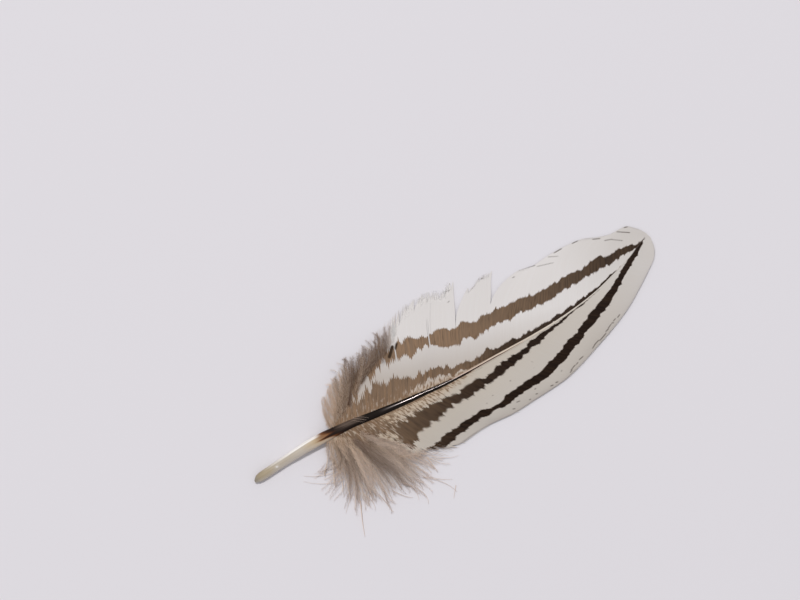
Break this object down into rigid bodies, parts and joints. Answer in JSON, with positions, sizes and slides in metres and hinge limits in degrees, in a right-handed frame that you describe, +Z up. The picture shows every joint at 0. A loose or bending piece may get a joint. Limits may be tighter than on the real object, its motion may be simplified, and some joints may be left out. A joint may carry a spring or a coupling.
{
  "type": "pheasant tail feather",
  "caption": "Pheasant feather lying on its underside: bare quill, glossy dark shaft, pale vanes with dark stripes that meet at the tip, and brown down at the base.",
  "frame": {"origin": "on the flat under the quill, where it rests, 5 mm from the quill's cut end", "axes": "+Y along the shaft to the feather's tip, +X towards the right vane, +Z up out of the feather's upper side"},
  "size_m": [0.0403, 0.1048, 0.0057],
  "materials": {
    "vane": "matte keratin barbs, off-white with dark brown stripes",
    "quill": "horn-like keratin, cream at the bare end and glossy black along the shaft",
    "down": "soft matte down, grey-brown with paler tips"
  },
  "bodies": {
    "root": {"feather": "vane"}
  },
  "joints": []
}
